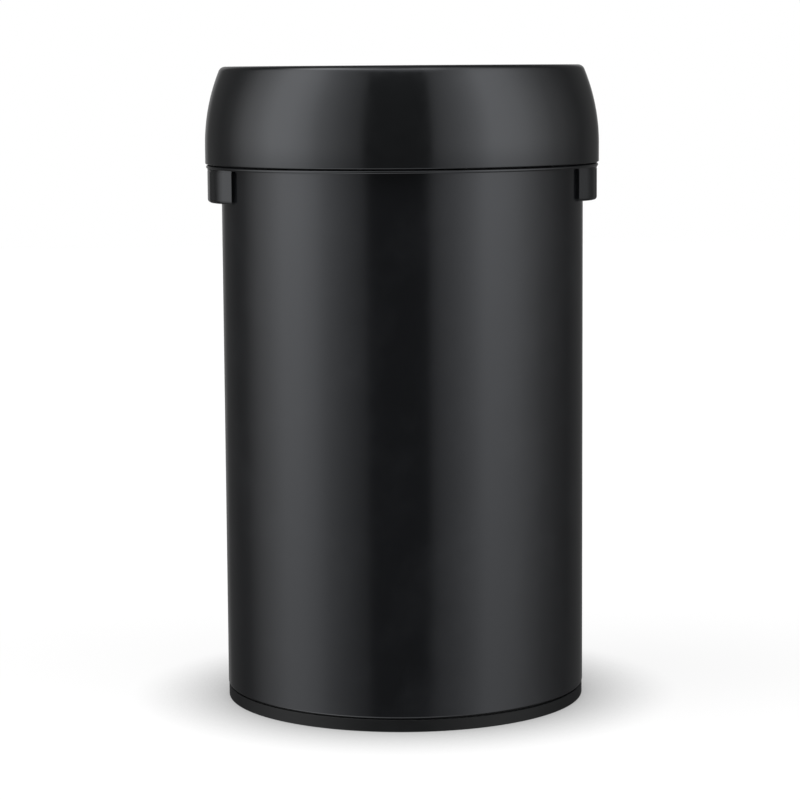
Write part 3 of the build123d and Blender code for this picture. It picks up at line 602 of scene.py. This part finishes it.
# Soft studio light: two tall graded panels beside the camera, a small one overhead in front,
# a dim wall behind the bin and a pale floor far below. Directions are in degrees from the front
# towards the right, heights the sine of the elevation.
studio = {
    "panels": [(-180, 0.22), (-166, 0.22), (-158, 0.03), (-132, 0.02), (-122, 0.10), (-113, 0.42),
               (-98, 1.2), (-84, 2.15), (-72, 2.35), (-61, 2.0), (-51, 1.26), (-41, 0.82), (-31, 0.46),
               (-27, 0.38), (-24, 0.02), (-20, 0.0), (13, 0.0), (14.5, 0.38), (20, 0.64), (30, 1.0),
               (40, 1.5), (50, 2.15), (60, 2.05), (71, 1.7), (83, 1.05), (96, 0.48), (111, 0.15),
               (124, 0.02), (158, 0.03), (166, 0.22), (180, 0.22)],
    "heights": [(-1.0, 0.35), (-0.30, 0.5), (-0.13, 0.74), (0.0, 1.0), (0.6, 1.0), (0.95, 0.35)],
    "overheadAround": [(-180, 0.0), (-125, 0.0), (-95, 1.0), (18, 1.0), (45, 0.0), (180, 0.0)],
    "overheadHeights": [(-1.0, 0.45), (-0.55, 0.45), (-0.42, 0.0), (0.70, 0.0), (0.76, 1.0), (0.90, 1.0),
                        (0.95, 0.15), (1.0, 0.15)],
    "brightest": 2.35,
    "overhead": 2.0,
    "ambient": 0.075,
    "background": 1.0,
}


def graded(tree, value, stops):  # light along one angle, from places and levels between 0 and 1
    node = addNode(tree, "ShaderNodeValToRGB", None, {"Fac": value})
    ramp = node.color_ramp
    while len(ramp.elements) > 1:
        ramp.elements.remove(ramp.elements[-1])
    for i, (place, level) in enumerate(stops):
        stop = ramp.elements[0] if i == 0 else ramp.elements.new(place)
        stop.position = place
        stop.color = (level, level, level, 1.0)
    return node.outputs["Color"]


def gradedPanel(tree, turned, raised, directions, heights, peak, gain):
    beside = graded(tree, turned, [((degrees + 180) / 360, level / peak) for degrees, level in directions])
    upright = graded(tree, raised, [((height + 1) / 2, level) for height, level in heights])
    return maths(tree, "MULTIPLY", maths(tree, "MULTIPLY", beside, upright), gain)


def lightStudio():
    world = bpy.data.worlds.new("softStudio")
    bpy.context.scene.world = world
    world.use_nodes = True
    tree = world.node_tree
    tree.nodes.clear()
    coords = addNode(tree, "ShaderNodeTexCoord").outputs["Generated"]
    aim = addNode(tree, "ShaderNodeSeparateXYZ", None, {"Vector": coords})
    turn = maths(tree, "ARCTAN2", aim.outputs["X"], maths(tree, "MULTIPLY", aim.outputs["Y"], -1.0))
    turned = mapped(tree, turn, 0.0, 1.0, -math.pi, math.pi)
    raised = mapped(tree, aim.outputs["Z"], 0.0, 1.0, -1.0, 1.0)
    brightest = studio["brightest"]
    side = gradedPanel(tree, turned, raised, studio["panels"], studio["heights"], brightest, brightest)
    overhead = gradedPanel(tree, turned, raised, studio["overheadAround"], studio["overheadHeights"],
                           1.0, studio["overhead"])
    level = maths(tree, "ADD", maths(tree, "ADD", side, overhead), studio["ambient"])
    pick = addNode(tree, "ShaderNodeMix", {"data_type": "FLOAT"}, {0: cameraRays(tree), 2: level})
    pick.inputs[3].default_value = studio["background"]
    white = hexColour("ffffff")
    glow = addNode(tree, "ShaderNodeBackground", {"Color": white}, {"Strength": pick.outputs[0]})
    addNode(tree, "ShaderNodeOutputWorld", None, {"Surface": glow.outputs[0]})


lightStudio()
print("bin: floor and light ready")

# Camera: level with the lid's top edge, a little left of the front and tipped slightly down
view = {"left": -0.139, "away": 2.6826, "height": 0.6273, "turn": 0.0504, "dip": 0.122, "roll": -0.0068,
        "pixelsFocal": 2683.4, "pixelsWide": 800, "sensorMm": 36.0}


def setCamera():
    turn, dip, roll = view["turn"], view["dip"], view["roll"]
    data = bpy.data.cameras.new("camera")
    data.sensor_width = view["sensorMm"]
    data.lens = view["pixelsFocal"] / view["pixelsWide"] * data.sensor_width
    camera = newObject("camera", data)
    ahead = Vector((math.sin(turn) * math.cos(dip), math.cos(turn) * math.cos(dip), -math.sin(dip)))
    right = ahead.cross(Vector((0, 0, 1))).normalized()
    above = right.cross(ahead)
    across = right * math.cos(roll) + above * math.sin(roll)
    upward = above * math.cos(roll) - right * math.sin(roll)
    turned = Matrix((across, upward, -ahead)).transposed().to_4x4()
    camera.matrix_world = Matrix.Translation((view["left"], -view["away"], view["height"])) @ turned
    bpy.context.scene.camera = camera


setCamera()
bpy.context.scene.view_settings.view_transform = "Standard"
